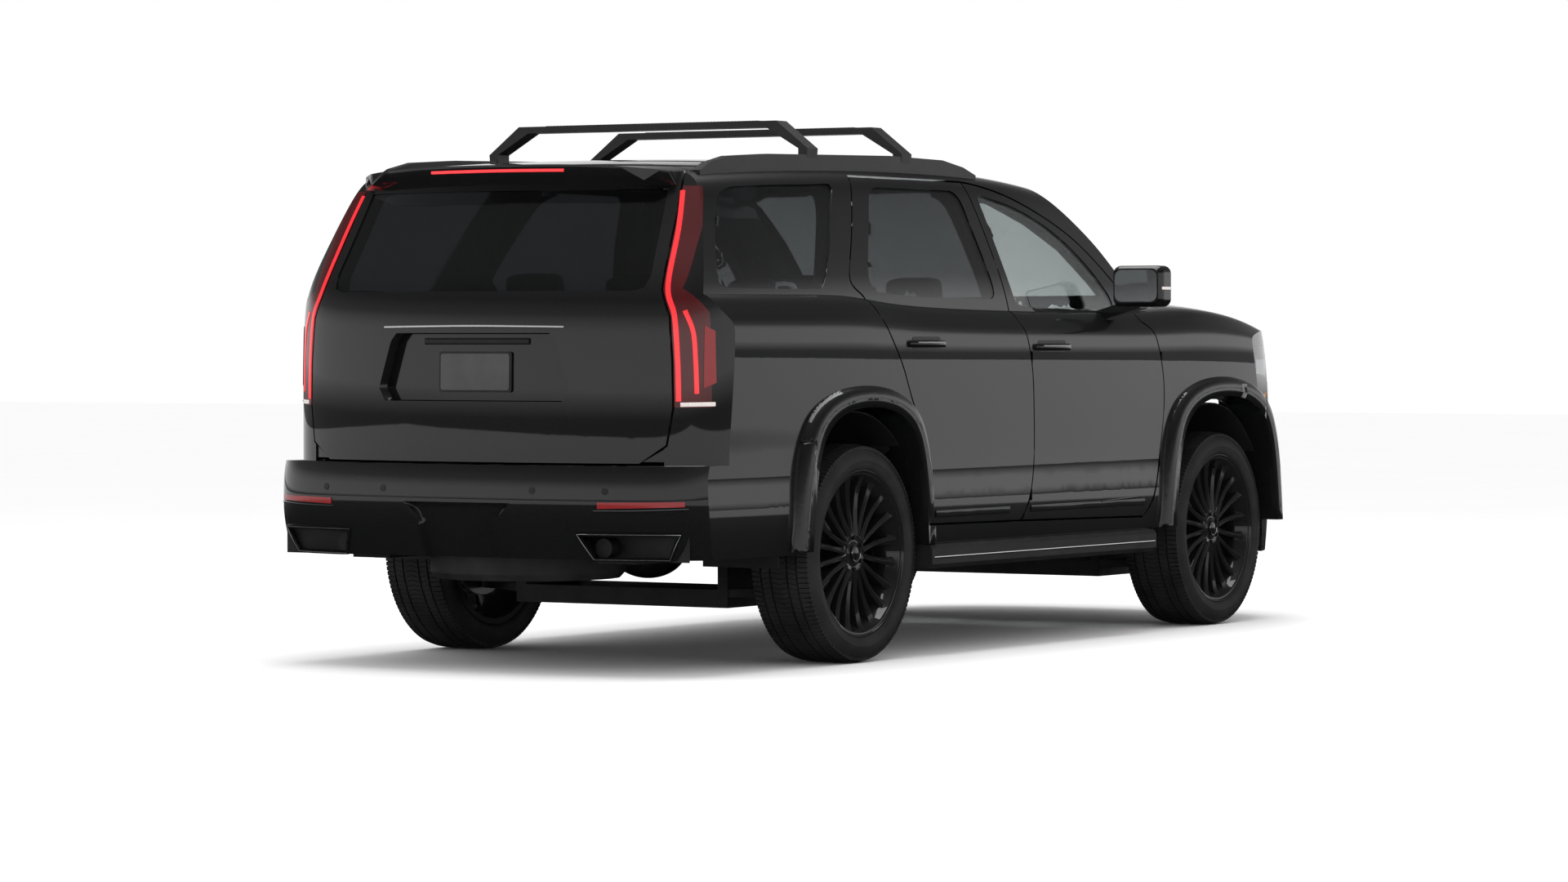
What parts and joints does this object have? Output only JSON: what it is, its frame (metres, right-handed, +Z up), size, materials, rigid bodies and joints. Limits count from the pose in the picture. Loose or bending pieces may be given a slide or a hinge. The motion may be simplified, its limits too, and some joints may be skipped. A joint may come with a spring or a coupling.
{
  "type": "suv",
  "caption": "Full-size body-on-frame suv with side doors, a top-hinged tailgate, running boards, roof rails with cross bars and steered front wheels.",
  "frame": {"origin": "on the ground under the middle of the vehicle's bounding box", "axes": "+X forward, +Y to the vehicle's left, +Z up"},
  "size_m": [5.3721, 2.4548, 2.084],
  "materials": {
    "paint": "high gloss",
    "clear_glass": "polished",
    "dark_glass": "polished",
    "lamp": "clear cover",
    "headlamp": "clear cover",
    "gloss_black": "gloss",
    "matte_black": "grained",
    "tyre": "rubber",
    "wheel": "gloss",
    "cast": "as cast",
    "frame_metal": "semi gloss",
    "alloy": "as cast",
    "steel": "dull",
    "seat": "soft",
    "trim": "grained"
  },
  "bodies": {
    "shell": {"bodyside_right": "paint", "bodyside_left": "paint", "windshield": "clear_glass", "quarter_glass": "dark_glass", "front_bumper": "paint", "rear_bumper": "paint", "headlamps": "headlamp", "grille": "gloss_black", "tail_lamps": "lamp", "front_fenders": "paint", "roof_panel": "paint", "cowl": "matte_black", "floor_pan": "trim", "chassis_frame": "frame_metal", "front_suspension": "frame_metal", "rear_suspension": "frame_metal", "engine": "alloy", "radiator": "alloy", "running_boards": "matte_black", "spare_wheel": "tyre", "exhaust": "steel", "front_seats": "seat", "middle_seats": "seat", "rear_bench": "seat", "dashboard": "trim", "roof_rails": "gloss_black", "cross_bars": "matte_black"},
    "front_right_door": {"door_front_right": "paint", "door_front_glass_right": "clear_glass", "mirror_right": "gloss_black"},
    "rear_right_door": {"door_rear_right": "paint", "door_rear_glass_right": "dark_glass"},
    "front_right_hub": {"knuckle_right": "cast"},
    "front_right_wheel": {"tyre_front_right": "tyre", "wheel_front_right": "wheel"},
    "rear_right_wheel": {"tyre_rear_right": "tyre", "wheel_rear_right": "wheel"},
    "front_left_door": {"door_front_left": "paint", "door_front_glass_left": "clear_glass", "mirror_left": "gloss_black"},
    "rear_left_door": {"door_rear_left": "paint", "door_rear_glass_left": "dark_glass"},
    "front_left_hub": {"knuckle_left": "cast"},
    "front_left_wheel": {"tyre_front_left": "tyre", "wheel_front_left": "wheel"},
    "rear_left_wheel": {"tyre_rear_left": "tyre", "wheel_rear_left": "wheel"},
    "tailgate_lid": {"tailgate": "paint", "rear_glass": "dark_glass"},
    "hood_lid": {"hood": "paint"},
    "steering": {"steering_wheel": "seat"}
  },
  "joints": [
    {"name": "front_right_door_hinge", "type": "hinge", "parent": "shell", "child": "front_right_door", "pos_m": [1.10387, -0.98301, 0.8342], "axis": [0, -0.0268, 0.9996], "range_deg": [0, 65]},
    {"name": "rear_right_door_hinge", "type": "hinge", "parent": "shell", "child": "rear_right_door", "pos_m": [-0.05237, -0.98482, 0.7178], "axis": [0, -0.0186, 0.9998], "range_deg": [0, 65]},
    {"name": "front_right_steering", "type": "hinge", "parent": "shell", "child": "front_right_hub", "pos_m": [1.71, -0.753, 0.419], "axis": [0, 0, 1], "range_deg": [-33, 33]},
    {"name": "front_right_wheel_spin", "type": "hinge", "parent": "front_right_hub", "child": "front_right_wheel", "pos_m": [1.71, -0.85, 0.419], "axis": [0, 1, 0], "continuous": true},
    {"name": "rear_right_wheel_spin", "type": "hinge", "parent": "shell", "child": "rear_right_wheel", "pos_m": [-1.361, -0.85, 0.419], "axis": [0, 1, 0], "continuous": true},
    {"name": "front_left_door_hinge", "type": "hinge", "parent": "shell", "child": "front_left_door", "pos_m": [1.10387, 0.98301, 0.8342], "axis": [0, -0.0268, -0.9996], "range_deg": [0, 65]},
    {"name": "rear_left_door_hinge", "type": "hinge", "parent": "shell", "child": "rear_left_door", "pos_m": [-0.05237, 0.98482, 0.7178], "axis": [0, -0.0186, -0.9998], "range_deg": [0, 65]},
    {"name": "front_left_steering", "type": "hinge", "parent": "shell", "child": "front_left_hub", "pos_m": [1.71, 0.753, 0.419], "axis": [0, 0, 1], "range_deg": [-33, 33]},
    {"name": "front_left_wheel_spin", "type": "hinge", "parent": "front_left_hub", "child": "front_left_wheel", "pos_m": [1.71, 0.85, 0.419], "axis": [0, 1, 0], "continuous": true},
    {"name": "rear_left_wheel_spin", "type": "hinge", "parent": "shell", "child": "rear_left_wheel", "pos_m": [-1.361, 0.85, 0.419], "axis": [0, 1, 0], "continuous": true},
    {"name": "tailgate_hinge", "type": "hinge", "parent": "shell", "child": "tailgate_lid", "pos_m": [-2.1876, 0, 1.88903], "axis": [0, 1, 0], "range_deg": [0, 85]},
    {"name": "hood_hinge", "type": "hinge", "parent": "shell", "child": "hood_lid", "pos_m": [1.3217, 0, 1.37367], "axis": [0, -1, 0], "range_deg": [0, 50]},
    {"name": "steering_wheel_turn", "type": "hinge", "parent": "shell", "child": "steering", "pos_m": [0.8164, 0.3888, 1.07], "axis": [-0.9063, 0, 0.4226], "range_deg": [-495, 495]}
  ],
  "couplings": [
    {"joint": "front_left_steering", "follows": "front_right_steering", "ratio": 1},
    {"joint": "steering_wheel_turn", "follows": "front_right_steering", "ratio": 15}
  ]
}
